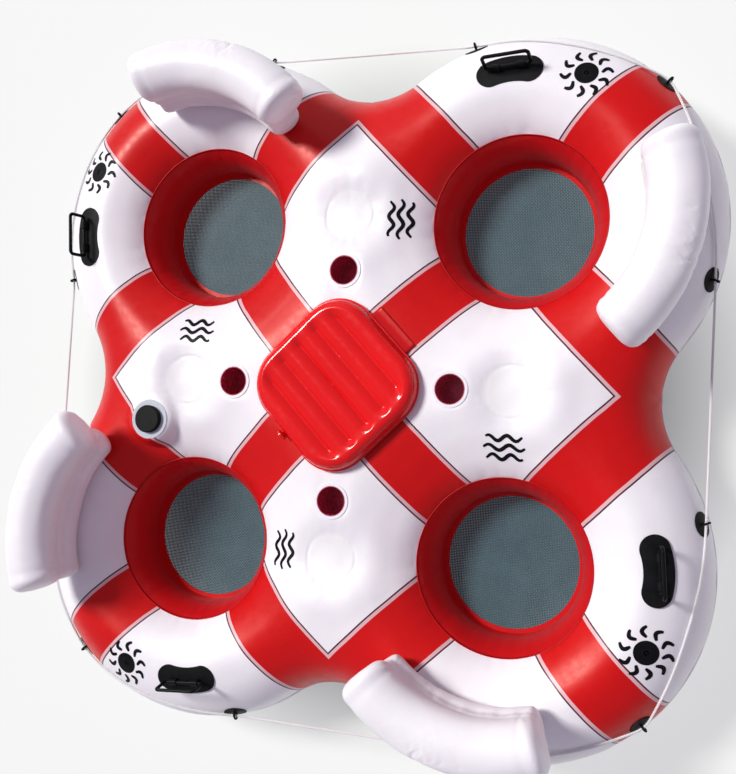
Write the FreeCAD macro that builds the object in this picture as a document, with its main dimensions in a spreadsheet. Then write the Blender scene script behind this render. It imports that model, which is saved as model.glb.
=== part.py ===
import FreeCAD, Part
import math
import os
import Sketcher
from FreeCAD import Placement, Rotation, Vector

# Four-seat floating lounge: four ring lobes round a square cooler bay.
# Frame: +Z up, origin on the ground under the centre; the lobes stand on the diagonals (ne, nw, sw, se)
# and the flat quadrants between them point along +X, +Y, -X and -Y (e, n, w, s). All sizes in mm.

os.makedirs("parts", exist_ok=True)
doc = FreeCAD.newDocument("lounge_float")

UP = Vector(0, 0, 1)
LOBES = ("ne", "nw", "sw", "se")
QUADRANTS = ("e", "n", "w", "s")

# ---------------------------------------------------------------- driving dimensions

DIMENSIONS = {
    "lobe_offset": 566,         # lobe centre from the middle, along X and along Y
    "ring_radius": 447,         # centreline of a lobe's air tube
    "tube_radius": 207,
    "tube_height": 225,         # height of the tube's centreline
    "waist_radius": 295,        # concave outline between two lobes
    "seam_radius": 290,         # where a lobe's top sheet meets the seat wall
    "skin": 15,                 # wall of the air tubes
    "deck_skin": 30,            # wall of the quadrants' top and bottom
    "deck_top": 470,
    "deck_slope": 118,          # run from the waist tube's crest to the flat deck
    "deck_round": 70,           # rounding of the deck's edge at a seat
    "wall_skin": 4,
    "mesh_level": 180,
    "mesh_radius": 238,
    "mesh_skin": 2,
    "weld_inner": 224,
    "weld_outer": 241,
    "weld_height": 4,
    "dimple_offset": 581,
    "dimple_radius": 92,
    "dimple_depth": 20,
    "tie_radius": 24,
    "cup_offset": 388,
    "cup_bore": 47.5,
    "cup_wall": 2.5,
    "cup_depth": 110,
    "cup_flange": 60,
    "flange_skin": 2,
    "well_side": 380,
    "well_corner": 60,
    "well_floor": 60,
    "well_rim": 24,
    "lid_side": 492,
    "lid_corner": 140,
    "lid_height": 62,
    "lid_round": 28,
    "lid_gap": 3,
    "hinge_reach": 15,          # lid hinge line beyond the lid's edge
    "strap_width": 220,
    "strap_reach": 50,
    "valve_x": -713,
    "valve_y": -147,
    "valve_flange": 70,
    "valve_bore": 28,
    "valve_body": 36,
    "valve_depth": 34,
    "valve_neck": 8,
    "cap_radius": 49,
    "cap_height": 17,
    "cap_bevel_side": 3,
    "cap_bevel_top": 4,
    "plug_height": 9,
    "rest_turn": -13,           # middle of a backrest, from straight outwards
    "rest_sweep": 29,           # half its sweep, without the round ends
    "roll_low": 60,
    "roll_low_out": 470,
    "roll_low_up": 495,
    "roll_high": 79,
    "roll_high_out": 504,
    "roll_high_up": 606,
    "rest_skin": 14,
    "flap_inner": 437,
    "flap_outer": 540,
    "flap_skin": 2,
    "flap_start": -35,          # the flap ends where the lobe's own tube does
    "air_valve": 18,
    "air_valve_depth": 8,
    "air_valve_sink": 3,        # how far it is let into the roll
    "handle_turn": 95,
    "handle_out": 492,
    "pad_length": 222,
    "pad_width": 92,
    "pad_skin": 6,
    "pad_bend": 240,            # the pad bends more than the ring does
    "grip_rod": 12,
    "grip_width": 150,
    "grip_height": 66,
    "grip_bend": 13.2,
    "keeper_radius": 10.5,
    "keeper_length": 26,
    "keeper_offset": 42,
    "grip_play": 0.4,
    "grip_lift": 18,            # grip's pivot above the tube
    "eyelet_turn": 62,
    "eyelet_climb": 25,         # eyelets above the equator, round the tube
    "patch_radius": 40,
    "patch_skin": 3,
    "ring_bend": 11,
    "ring_rod": 3.5,
    "rope_lift": 13,            # rope centre above the tube in an eyelet
    "rope_corner": 14,          # and its route's corner there
    "rope_rest": 7,             # and where it lies on the tube
    "rope_diameter": 9,
    "knot_radius": 12.5,
    "seam_height": 14,
    "seam_skin": 2,
}

sheet = doc.addObject("Spreadsheet::Sheet", "sizes")
for row, (alias, value) in enumerate(DIMENSIONS.items(), start=1):
    sheet.set(f"A{row}", alias)
    sheet.set(f"B{row}", str(value))
    sheet.setAlias(f"B{row}", alias)
doc.recompute()


class Size:
    """A number together with the sheet expression that gives it."""

    def __init__(self, text, value):
        self.text = text
        self.value = value

    def __add__(self, other):
        other = as_size(other)
        return Size(f"({self.text} + {other.text})", self.value + other.value)

    def __sub__(self, other):
        other = as_size(other)
        return Size(f"({self.text} - {other.text})", self.value - other.value)

    def __mul__(self, other):
        other = as_size(other)
        return Size(f"({self.text} * {other.text})", self.value * other.value)

    def __neg__(self):
        return Size(f"(0 - {self.text})", -self.value)


def as_size(number):
    return number if isinstance(number, Size) else Size(repr(number), number)


def cell(alias):
    return Size(f"sizes.{alias}", float(sheet.get(alias)))


def val(alias):
    return float(sheet.get(alias))


def bind(thing, prop, size):
    size = as_size(size)
    thing.setExpression(prop, size.text)


# ---------------------------------------------------------------- building blocks

SUBPARTS = []


def keep(thing, label):
    """Names a finished sub-part; its label is also its file's name."""
    thing.Label = label
    SUBPARTS.append(thing)
    return thing


def turned(angle):
    return Placement(Vector(), Rotation(UP, angle))


def keep_four(thing, stem, names):
    """Keeps a sub-part and its three copies, turned by quarters round the middle."""
    keep(thing, f"{stem}_{names[0]}")
    for quarter in (1, 2, 3):
        copy = doc.addObject("Part::Compound", f"{stem}_copy")
        copy.Links = [thing]
        copy.Placement = turned(90 * quarter)
        keep(copy, f"{stem}_{names[quarter]}")


def cylinder(radius, height, x=0, y=0, z=0):
    thing = doc.addObject("Part::Cylinder", "cylinder")
    bind(thing, "Radius", radius)
    bind(thing, "Height", height)
    bind(thing, "Placement.Base.x", x)
    bind(thing, "Placement.Base.y", y)
    bind(thing, "Placement.Base.z", z)
    return thing


def torus(ring, tube, x, y, z):
    thing = doc.addObject("Part::Torus", "torus")
    bind(thing, "Radius1", ring)
    bind(thing, "Radius2", tube)
    bind(thing, "Placement.Base.x", x)
    bind(thing, "Placement.Base.y", y)
    bind(thing, "Placement.Base.z", z)
    return thing


def cut(base, tool):
    thing = doc.addObject("Part::Cut", "cut")
    thing.Base = base
    thing.Tool = tool
    return thing


def common(*shapes):
    thing = doc.addObject("Part::MultiCommon", "common")
    thing.Shapes = list(shapes)
    return thing


def solid_feature(shape, name="solid"):
    thing = doc.addObject("Part::Feature", name)
    thing.Shape = shape
    return thing


def origin_plane(body, role):
    return next(item for item in body.Origin.OriginFeatures if item.Role == role)


def outline(sketch, points):
    """A closed polygon whose every corner is tied to the sheet by its two distances."""
    count = len(points)
    for index, (across, up) in enumerate(points):
        after = points[(index + 1) % count]
        start = Vector(across.value, up.value, 0)
        end = Vector(after[0].value, after[1].value, 0)
        sketch.addGeometry(Part.LineSegment(start, end), False)
    for index in range(count):
        sketch.addConstraint(Sketcher.Constraint("Coincident", index, 2, (index + 1) % count, 1))
    for index, (across, up) in enumerate(points):
        for kind, size in (("DistanceX", across), ("DistanceY", up)):
            sketch.addConstraint(Sketcher.Constraint(kind, -1, 1, index, 1, size.value))
            bind(sketch, f"Constraints[{sketch.ConstraintCount - 1}]", size)


def turned_body(name, points, x=0, y=0, z=0):
    """A body of revolution about its own Z axis from a list of (radius, height) corners."""
    body = doc.addObject("PartDesign::Body", name)
    sketch = body.newObject("Sketcher::SketchObject", f"{name}_profile")
    sketch.AttachmentSupport = [(origin_plane(body, "XZ_Plane"), "")]
    sketch.MapMode = "FlatFace"
    outline(sketch, [(as_size(across), as_size(up)) for across, up in points])
    spin = body.newObject("PartDesign::Revolution", f"{name}_turn")
    spin.Profile = sketch
    spin.ReferenceAxis = (sketch, ["V_Axis"])
    spin.Angle = 360
    body.Tip = spin
    bind(body, "Placement.Base.x", x)
    bind(body, "Placement.Base.y", y)
    bind(body, "Placement.Base.z", z)
    return body


def wedge(start, end, reach, low, high, x, y):
    """A tall slice of pie between two directions, used to trim rings to length."""
    face = Part.Face(Part.Wire([
        Part.LineSegment(Vector(), ray(start, reach)).toShape(),
        Part.Arc(ray(start, reach), ray((start + end) / 2, reach), ray(end, reach)).toShape(),
        Part.LineSegment(ray(end, reach), Vector()).toShape(),
    ]))
    pie = face.extrude(Vector(0, 0, high - low))
    pie.translate(Vector(x, y, low))
    return pie


def ray(angle, length, up=0):
    """The point at a distance in a direction given in degrees."""
    turn = math.radians(angle)
    return Vector(length * math.cos(turn), length * math.sin(turn), up)


# ---------------------------------------------------------------- places that follow from the sizes

lobe = cell("lobe_offset")
tube_height = cell("tube_height")
ring_radius = cell("ring_radius")
tube_radius = cell("tube_radius")
deck_top = cell("deck_top")
LOBE = Vector(val("lobe_offset"), val("lobe_offset"), 0)
RING = val("ring_radius")
TUBE = val("tube_radius")
MID = val("tube_height")
SEAM = val("seam_radius")
TALL = 900
FAR = 2000

# The waist's centre lies on the axis where its circle touches both neighbouring lobes' circles.
WAIST = val("waist_radius")
reach_between = WAIST + RING + TUBE
waist_x = LOBE.x + math.sqrt(reach_between ** 2 - LOBE.y ** 2)
WAIST_CENTRE = Vector(waist_x, 0, 0)
tangent_turn = math.degrees(math.atan2(LOBE.y, waist_x - LOBE.x))


def on_tube(turn, climb, lift):
    """A point near the NE lobe's tube: direction round the lobe, angle above the equator, lift."""
    out = RING + (TUBE + lift) * math.cos(math.radians(climb))
    up = MID + (TUBE + lift) * math.sin(math.radians(climb))
    return LOBE + ray(turn, out, up)


# ---------------------------------------------------------------- air tubes of the lobes

def ring_skin(outer_lift, inner_lift):
    """A closed ring of skin on the NE lobe's tube, between two lifts from its surface."""
    outer = torus(ring_radius, tube_radius + outer_lift, lobe, lobe, tube_height)
    inner = torus(ring_radius, tube_radius + inner_lift, lobe, lobe, tube_height)
    return cut(outer, inner)


def add_lobe_tubes():
    """The outer sweep of each lobe's tube, open at both ends where it joins the quadrants."""
    skin = ring_skin(as_size(0), -cell("skin"))
    sector = solid_feature(wedge(-tangent_turn, 90 + tangent_turn, FAR, 0, TALL, LOBE.x, LOBE.y))
    hole = cylinder(cell("seam_radius"), TALL, lobe, lobe, 0)
    keep_four(cut(common(skin, sector), hole), "lobe_tube", LOBES)


def add_seat_walls():
    """The inside of each ring, from the top seam round to the bottom seam."""
    skin = ring_skin(as_size(0), -cell("wall_skin"))
    core = cylinder(cell("seam_radius"), TALL, lobe, lobe, 0)
    keep_four(common(skin, core), "seat_wall", LOBES)


# ---------------------------------------------------------------- quadrants between the lobes

def deck_profile(inset, roof_inset):
    """Cross-section from the waist inwards: half a tube, a slope, then the flat deck."""
    crest = WAIST + TUBE
    small = TUBE - inset
    low = roof_inset
    high = val("deck_top") - roof_inset
    slope = crest + val("deck_slope")
    top = Vector(-crest, 0, MID + small)
    bottom = Vector(-crest, 0, MID - small)
    nose = Vector(-crest + small, 0, MID)
    corners = [top, Vector(-slope, 0, high), Vector(-FAR, 0, high), Vector(-FAR, 0, low),
               Vector(-slope, 0, low), bottom]
    edges = [Part.Arc(bottom, nose, top).toShape()]
    edges += [Part.LineSegment(a, b).toShape() for a, b in zip(corners, corners[1:])]
    return Part.Face(Part.Wire(edges))


def edge_round(inset, roof_inset):
    """The stuff taken off above and below a deck edge so that it rolls over into the seat."""
    bend = val("deck_round")
    inner = SEAM + inset
    tools = []
    for high, way in ((val("deck_top") - roof_inset, 1), (roof_inset, -1)):
        start = Vector(inner, 0, high - way * bend)
        end = Vector(inner + bend, 0, high)
        lean = math.sqrt(0.5) * bend
        middle = Vector(inner + bend - lean, 0, high - way * (bend - lean))
        above = high + way * bend
        corners = [end, Vector(inner + bend, 0, above), Vector(inner - bend, 0, above),
                   Vector(inner - bend, 0, start.z), start]
        edges = [Part.Arc(start, middle, end).toShape()]
        edges += [Part.LineSegment(a, b).toShape() for a, b in zip(corners, corners[1:])]
        face = Part.Face(Part.Wire(edges))
        tools.append(face.revolve(Vector(), UP, 360))
    return tools


def square_prism(side, corner, low, high):
    """An upright square with rounded corners that points its corners along X and Y."""
    half = side / 2
    box = Part.makeBox(side, side, high - low, Vector(-half, -half, low))
    upright = [edge for edge in box.Edges if abs(edge.tangentAt(edge.FirstParameter).z) > 0.9]
    prism = box.makeFillet(corner, upright)
    prism.rotate(Vector(), UP, 45)
    return prism


def deck_block(inset, roof_inset):
    """The solid body of the east quadrant, smaller all round by the insets."""
    spread = tangent_turn
    block = deck_profile(inset, roof_inset).revolve(Vector(), UP, 2 * spread)
    block.rotate(Vector(), UP, -spread)
    block.translate(WAIST_CENTRE)
    margin = inset * math.sqrt(2)
    triangle = Part.Face(Part.makePolygon([
        Vector(margin, 0, 0), Vector(FAR + margin, FAR, 0), Vector(FAR + margin, -FAR, 0),
        Vector(margin, 0, 0)]))
    block = block.common(triangle.extrude(Vector(0, 0, TALL)))
    for side in (1, -1):
        centre = Vector(LOBE.x, side * LOBE.y, 0)
        block = block.cut(Part.makeCylinder(SEAM + inset, TALL, centre))
        for tool in edge_round(inset, roof_inset):
            tool.translate(centre)
            block = block.cut(tool)
    well = val("well_side") + 2 * inset
    return block.cut(square_prism(well, val("well_corner"), -1, TALL))


def add_quadrants():
    """Each quadrant is a hollow cushion with a dimple above and below and a bore for its cup."""
    outer = deck_block(0, 0)
    inner = deck_block(val("skin"), val("deck_skin"))
    shell = outer.cut(inner)
    depth = val("dimple_depth")
    dish = (val("dimple_radius") ** 2 + depth ** 2) / (2 * depth)
    for centre_up in (val("deck_top") - depth + dish, depth - dish):
        shell = shell.cut(Part.makeSphere(dish, Vector(val("dimple_offset"), 0, centre_up)))
    cup_hole = val("cup_bore") + val("cup_wall")
    east = shell.cut(Part.makeCylinder(cup_hole, TALL, Vector(val("cup_offset"), 0, MID)))
    keep(solid_feature(east, "quadrant"), "quadrant_e")
    for quarter, name in ((1, "n"), (2, "w"), (3, "s")):
        copy = east.copy()
        copy.rotate(Vector(), UP, 90 * quarter)
        if name == "w":
            place = Vector(val("valve_x"), val("valve_y"), MID)
            copy = copy.cut(Part.makeCylinder(val("valve_body"), TALL, place))
        keep(solid_feature(copy, "quadrant"), f"quadrant_{name}")


def add_dimple_ties():
    """The strap inside each quadrant that holds its two dimples together."""
    low = cell("deck_skin")
    height = deck_top - cell("deck_skin") * 2
    keep_four(cylinder(cell("tie_radius"), height, cell("dimple_offset"), 0, low),
              "dimple_tie", QUADRANTS)


# ---------------------------------------------------------------- seats

def add_seats():
    """Mesh bottoms, each held to its seat wall by a welded ring on top."""
    level = cell("mesh_level")
    mesh = cylinder(cell("mesh_radius"), cell("mesh_skin"), lobe, lobe, level)
    keep_four(mesh, "seat_mesh", LOBES)
    low = cell("mesh_skin")
    high = cell("mesh_skin") + cell("weld_height")
    inner = cell("weld_inner")
    outer = cell("weld_outer")
    ring = turned_body("weld_ring", [(inner, low), (outer, low), (outer, high), (inner, high)],
                       lobe, lobe, level)
    rings = doc.addObject("Part::Compound", "weld_rings")
    copies = [ring]
    for quarter in (1, 2, 3):
        copy = doc.addObject("Part::Compound", "weld_ring_copy")
        copy.Links = [ring]
        copy.Placement = turned(90 * quarter)
        copies.append(copy)
    rings.Links = copies
    keep(rings, "mesh_weld_rings")


def add_cups():
    """A moulded cup in each quadrant, hung by its flange."""
    bore = cell("cup_bore")
    out = bore + cell("cup_wall")
    lip = cell("flange_skin")
    deep = -cell("cup_depth")
    floor = deep + cell("cup_wall")
    cup = turned_body("cup", [
        (0, deep), (out, deep), (out, 0), (cell("cup_flange"), 0), (cell("cup_flange"), lip),
        (bore, lip), (bore, floor), (0, floor)], cell("cup_offset"), 0, deck_top)
    keep_four(cup, "cup_holder", QUADRANTS)


# ---------------------------------------------------------------- cooler bay

def add_cooler():
    """The tub in the middle, its inflated lid and the welded part of the lid's hinge strap."""
    side = val("well_side")
    wall = val("wall_skin")
    top = val("deck_top")
    floor = val("well_floor")
    lip = val("flange_skin")
    tub = square_prism(side, val("well_corner"), floor, top)
    rim = square_prism(side + 2 * val("well_rim"), val("well_corner") + val("well_rim"), top, top + lip)
    hollow = square_prism(side - 2 * wall, val("well_corner") - wall, floor + wall, TALL)
    keep(solid_feature(tub.fuse(rim).cut(hollow), "well"), "cooler_well")
    low = top + val("lid_gap")
    lid = square_prism(val("lid_side"), val("lid_corner"), low, low + val("lid_height"))
    flats = [edge for edge in lid.Edges if abs(edge.tangentAt(edge.FirstParameter).z) < 0.1]
    keep(solid_feature(lid.makeFillet(val("lid_round"), flats), "lid"), "cooler_lid")
    start = val("lid_side") / 2 + val("hinge_reach") - val("strap_reach") / 4
    strap = doc.addObject("Part::Box", "strap")
    bind(strap, "Length", cell("strap_reach"))
    bind(strap, "Width", cell("strap_width"))
    bind(strap, "Height", cell("flange_skin"))
    corner = Rotation(UP, 45).multVec(Vector(start, -val("strap_width") / 2, top))
    strap.Placement = Placement(corner, Rotation(UP, 45))
    keep(strap, "lid_hinge_strap")
    along = Rotation(UP, 45).multVec(Vector(-val("lid_side") / 2, 0, low + val("lid_height") / 2))
    stem = doc.addObject("Part::Cylinder", "lid_valve")
    bind(stem, "Radius", cell("air_valve"))
    bind(stem, "Height", cell("air_valve_depth"))
    stem.Placement = Placement(along, Rotation(UP, ray(225, 1)))
    keep(stem, "lid_valve")


# ---------------------------------------------------------------- main valve

def add_main_valve():
    """The screw valve in the west quadrant: weld flange, moulded body, inner plug and cap."""
    x = cell("valve_x")
    y = cell("valve_y")
    lip = cell("flange_skin")
    body = cell("valve_body")
    bore = cell("valve_bore")
    neck = lip + cell("valve_neck")
    deep = -cell("valve_depth")
    flange = turned_body("valve_flange", [
        (body, 0), (cell("valve_flange"), 0), (cell("valve_flange"), lip), (body, lip)], x, y, deck_top)
    keep(flange, "valve_flange")
    barrel = turned_body("valve_body", [(bore, deep), (body, deep), (body, neck), (bore, neck)],
                         x, y, deck_top)
    keep(barrel, "valve_body")
    plug = cylinder(bore - cell("grip_play"), cell("plug_height"), x, y,
                    deck_top - cell("valve_depth") + cell("plug_height"))
    keep(plug, "valve_plug")
    cap = cell("cap_radius")
    play = cell("grip_play")
    low = lip + play
    roof = neck + play
    high = low + cell("cap_height")
    lid = turned_body("valve_cap", [
        (body + play, low), (cap, low), (cap, high - cell("cap_bevel_side")),
        (cap - cell("cap_bevel_top"), high), (0, high), (0, roof),
        (body + play, roof)], x, y, deck_top)
    keep(lid, "valve_cap")


# ---------------------------------------------------------------- backrests

def roll(radius, out, up, sweep):
    """A bent air roll with round ends, about the lobe's own axis."""
    centre = Vector(out, 0, up)
    disc = Part.Face(Part.Wire(Part.makeCircle(radius, centre, Vector(0, 1, 0))))
    bent = disc.revolve(Vector(), UP, 2 * sweep)
    bent.rotate(Vector(), UP, -sweep)
    balls = []
    for end in (-sweep, sweep):
        balls.append(Part.makeSphere(radius, ray(end, out, up)))
    return bent.fuse(balls)


def rest_shape(inset):
    sweep = val("rest_sweep")
    low = roll(val("roll_low") - inset, val("roll_low_out"), val("roll_low_up"), sweep)
    high = roll(val("roll_high") - inset, val("roll_high_out"), val("roll_high_up"), sweep)
    return low.fuse(high).removeSplitter()


def add_backrests():
    """Two stacked rolls in one cushion, the flap that holds it and the air valve behind it."""
    shape = rest_shape(0).cut(rest_shape(val("rest_skin")))
    shape.rotate(Vector(), UP, val("rest_turn"))
    shape.translate(LOBE)
    back = val("roll_high_out") + val("roll_high") - val("air_valve_sink")
    place = LOBE + ray(val("rest_turn"), back, val("roll_high_up"))
    pocket = Part.makeCylinder(val("air_valve"), val("roll_high"), place, ray(val("rest_turn"), 1))
    keep_four(solid_feature(shape.cut(pocket), "backrest"), "backrest", LOBES)
    skin = ring_skin(cell("flap_skin"), as_size(0))
    end = val("rest_turn") + val("rest_sweep")
    sector = solid_feature(wedge(val("flap_start"), end, FAR, MID, TALL, LOBE.x, LOBE.y))
    outer = cylinder(cell("flap_outer"), TALL, lobe, lobe, 0)
    inner = cylinder(cell("flap_inner"), TALL, lobe, lobe, 0)
    flap = cut(common(skin, sector, outer), inner)
    flaps = doc.addObject("Part::Compound", "flaps")
    copies = [flap]
    for quarter in (1, 2, 3):
        copy = doc.addObject("Part::Compound", "flap_copy")
        copy.Links = [flap]
        copy.Placement = turned(90 * quarter)
        copies.append(copy)
    flaps.Links = copies
    keep(flaps, "backrest_flaps")
    stem = doc.addObject("Part::Cylinder", "rest_valve")
    bind(stem, "Radius", cell("air_valve"))
    bind(stem, "Height", cell("air_valve_depth"))
    stem.Placement = Placement(place, Rotation(UP, ray(val("rest_turn"), 1)))
    keep_four(stem, "backrest_valve", LOBES)


# ---------------------------------------------------------------- handles

def handle_frame():
    """X along the ring, Z square to the tube's surface, origin on the surface."""
    turn = val("handle_turn")
    climb = math.degrees(math.acos((val("handle_out") - RING) / TUBE))
    surface = on_tube(turn, climb, 0)
    normal = (on_tube(turn, climb, 1) - surface).normalize()
    return Placement(surface, Rotation(ray(turn + 90, 1), Vector(), normal, "ZXY"))


def pad_outline():
    """Upright block with the pad's kidney outline, its hollow side to the seat."""
    bend = val("pad_bend")
    half = val("pad_width") / 2
    sweep = math.degrees((val("pad_length") / 2 - half) / bend)
    band = Part.makeCylinder(bend + half, TALL, Vector(0, 0, MID))
    band = band.cut(Part.makeCylinder(bend - half, TALL, Vector(0, 0, MID)))
    band = band.common(wedge(-sweep, sweep, FAR, MID, TALL, 0, 0))
    ends = [Part.makeCylinder(half, TALL, ray(end, bend, MID)) for end in (-sweep, sweep)]
    shape = band.fuse(ends)
    shape.translate(Vector(val("handle_out") - bend, 0, 0))
    shape.rotate(Vector(), UP, val("handle_turn"))
    shape.translate(LOBE)
    return shape


def add_handles():
    """A welded pad with two keepers, and the grip whose lower rod turns in them."""
    frame = handle_frame()
    lift = val("grip_lift")
    radius = val("grip_rod") / 2
    skin = ring_skin(cell("pad_skin"), as_size(0))
    pad = common(skin, solid_feature(pad_outline()))
    doc.recompute()
    shape = pad.Shape.copy()
    length = val("keeper_length")
    keeper_radius = val("keeper_radius")
    for side in (-1, 1):
        start = Vector(side * val("keeper_offset") - length / 2, 0, lift)
        keeper = Part.makeCylinder(keeper_radius, length, start, Vector(1, 0, 0))
        foot_corner = start - Vector(0, keeper_radius, lift)
        foot = Part.makeBox(length, 2 * keeper_radius, lift, foot_corner)
        keeper = keeper.fuse(foot)
        bore = Part.makeCylinder(radius + val("grip_play"), length, start, Vector(1, 0, 0))
        keeper = keeper.cut(bore)
        keeper.Placement = frame.multiply(keeper.Placement)
        shape = shape.fuse(keeper)
    tube_core = Part.makeTorus(RING, TUBE, LOBE + Vector(0, 0, MID))
    shape = shape.cut(tube_core).removeSplitter()
    keep_four(solid_feature(shape, "handle_pad"), "handle_pad", LOBES)
    grip = grip_shape(radius, lift)
    grip.Placement = frame
    keep_four(solid_feature(grip, "handle_grip"), "handle_grip", LOBES)


def grip_shape(radius, lift):
    """A closed loop of round rod with rounded corners, standing on its lower side."""
    half = val("grip_width") / 2
    high = val("grip_height")
    bend = val("grip_bend")
    corners = [Vector(-half, 0, lift), Vector(half, 0, lift), Vector(half, 0, lift + high),
               Vector(-half, 0, lift + high)]
    path = rounded_wire(corners + corners[:2], [bend] * 4)
    loop = Part.Wire(path.Edges[1:] if len(path.Edges) > 8 else path.Edges)
    start = loop.Edges[0].valueAt(loop.Edges[0].FirstParameter)
    way = loop.Edges[0].tangentAt(loop.Edges[0].FirstParameter)
    disc = Part.Wire(Part.makeCircle(radius, start, way))
    return loop.makePipeShell([disc], True, True)


def rounded_wire(points, bends):
    """Straight runs joined by tangent arcs at the inner points."""
    edges = []
    start = points[0]
    for before, corner, after, bend in zip(points, points[1:], points[2:], bends):
        back = (before - corner).normalize()
        ahead = (after - corner).normalize()
        half_turn = (math.pi - back.getAngle(ahead)) / 2
        trim = bend * math.tan(half_turn)
        first = corner + back * trim
        last = corner + ahead * trim
        bisector = (back + ahead).normalize()
        middle = corner + bisector * (bend / math.cos(half_turn) - bend)
        edges.append(Part.LineSegment(start, first).toShape())
        edges.append(Part.Arc(first, middle, last).toShape())
        start = last
    edges.append(Part.LineSegment(start, points[-1]).toShape())
    return Part.Wire(edges)


# ---------------------------------------------------------------- rope and its eyelets

def add_eyelets():
    """Round welded patches with a ring each, three to a lobe."""
    climb = val("eyelet_climb")
    skin = ring_skin(cell("patch_skin"), as_size(0))
    doc.recompute()
    solids = []
    for step in (-1, 0, 1):
        turn = 45 + step * val("eyelet_turn")
        surface = on_tube(turn, climb, 0)
        normal = (on_tube(turn, climb, 1) - surface).normalize()
        start = surface - normal * val("patch_radius")
        plug = Part.makeCylinder(val("patch_radius"), 2 * val("patch_radius"), start, normal)
        patch = skin.Shape.common(plug)
        centre = on_tube(turn, climb, val("rope_lift"))
        ring = Part.makeTorus(val("ring_bend"), val("ring_rod"), centre, ray(turn + 90, 1))
        tube_core = Part.makeTorus(RING, TUBE, LOBE + Vector(0, 0, MID))
        solids.append(patch.fuse(ring).cut(tube_core))
    keep_four(solid_feature(Part.makeCompound(solids), "eyelets"), "rope_eyelets", LOBES)


# Where the rope goes over one lobe: direction round the lobe, angle above the equator.
# It climbs the tube's shoulder between the eyelets. Its corners at the eyelets lie a little
# outside them, so that its rounded bends pass through the rings.
ROPE_ROUTE = [(-18, 23.5), (-9, 34), (-1, 41), (7, 45.5), (15, 47), (23, 45), (31, 40),
              (38.5, 33), (45, 22.6), (52, 33), (59, 40), (67, 45), (75, 47), (83, 45.5),
              (91, 41), (99, 34), (108, 23.5)]
EYELET_STEPS = (0, 8, 16)
ROPE_START = (-11.2, 31.4)
ROPE_END = (-13.4, 28.9)
BEND_SHARE = 0.45


def rope_points():
    """The rope's corners, lobe by lobe; its two ends face each other across the knot."""
    points = []
    for quarter in (-1, 0, 1, 2):
        spin = Rotation(UP, 90 * quarter)
        for step, (turn, climb) in enumerate(ROPE_ROUTE):
            lift = val("rope_corner") if step in EYELET_STEPS else val("rope_rest")
            points.append(spin.multVec(on_tube(turn, climb, lift)))
    spin = Rotation(UP, -90)
    first_eyelet = points[0]
    points[0] = spin.multVec(on_tube(*ROPE_START, val("rope_lift")))
    return points + [first_eyelet, spin.multVec(on_tube(*ROPE_END, val("rope_lift")))]


def add_rope():
    """The grab line, one length that runs through every eyelet."""
    points = rope_points()
    bends = []
    for before, corner, after in zip(points, points[1:], points[2:]):
        back = before - corner
        ahead = after - corner
        half_turn = (math.pi - back.getAngle(ahead)) / 2
        bends.append(BEND_SHARE * min(back.Length, ahead.Length) / math.tan(half_turn))
    print("rope bend radii", [round(bend) for bend in bends])
    path = rounded_wire(points, bends)
    radius = val("rope_diameter") / 2
    disc = Part.Wire(Part.makeCircle(radius, points[0], points[1] - points[0]))
    rope = path.makePipeShell([disc], True, True)
    expected = math.pi * radius ** 2 * path.Length
    print("rope length", round(path.Length), "volume ratio", round(rope.Volume / expected, 4))
    keep(solid_feature(rope, "rope"), "grab_rope")
    middle = (points[0] + points[-1]) / 2
    keep(solid_feature(Part.makeSphere(val("knot_radius"), middle), "knot"), "rope_knot")


def add_seam():
    """The welded seam round the whole outline, where the top and bottom sheets meet."""
    skin = val("seam_skin")

    def loop(grow):
        edges = []
        for quarter in range(4):
            spin = Rotation(UP, 90 * quarter)
            out = RING + TUBE + grow
            turns = (-tangent_turn, 45, 90 + tangent_turn)
            marks = [spin.multVec(LOBE + ray(turn, out)) for turn in turns]
            edges.append(Part.Arc(*marks).toShape())
            start = marks[-1]
            spin = Rotation(UP, 90 * (quarter + 1))
            end = spin.multVec(LOBE + ray(-tangent_turn, out))
            middle = spin.multVec(WAIST_CENTRE - Vector(WAIST - grow, 0, 0))
            edges.append(Part.Arc(start, middle, end).toShape())
        return Part.Wire(edges)

    band = Part.Face(loop(skin)).cut(Part.Face(loop(0)))
    band = band.extrude(Vector(0, 0, val("seam_height")))
    band.translate(Vector(0, 0, MID - val("seam_height") / 2))
    keep(solid_feature(band, "seam"), "outline_seam")


# ---------------------------------------------------------------- assembly

add_lobe_tubes()
add_seat_walls()
add_quadrants()
add_dimple_ties()
add_seats()
add_cups()
add_cooler()
add_main_valve()
add_backrests()
add_handles()
add_eyelets()
add_rope()
add_seam()
doc.recompute()

for thing in doc.Objects:
    if "Invalid" in thing.State or "Error" in thing.State:
        raise RuntimeError(f"{thing.Label} failed: {thing.State}")
for thing in SUBPARTS:
    if thing.Shape.isNull() or not thing.Shape.isValid() or not thing.Shape.Solids:
        raise RuntimeError(f"{thing.Label} is not a sound solid")
    thing.Shape.exportStep(f"parts/{thing.Label}.step")
print(len(SUBPARTS), "sub-parts")
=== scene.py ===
import bpy
import bmesh
import math
import numpy as np
from mathutils import Matrix, Quaternion, Vector, noise


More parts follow.
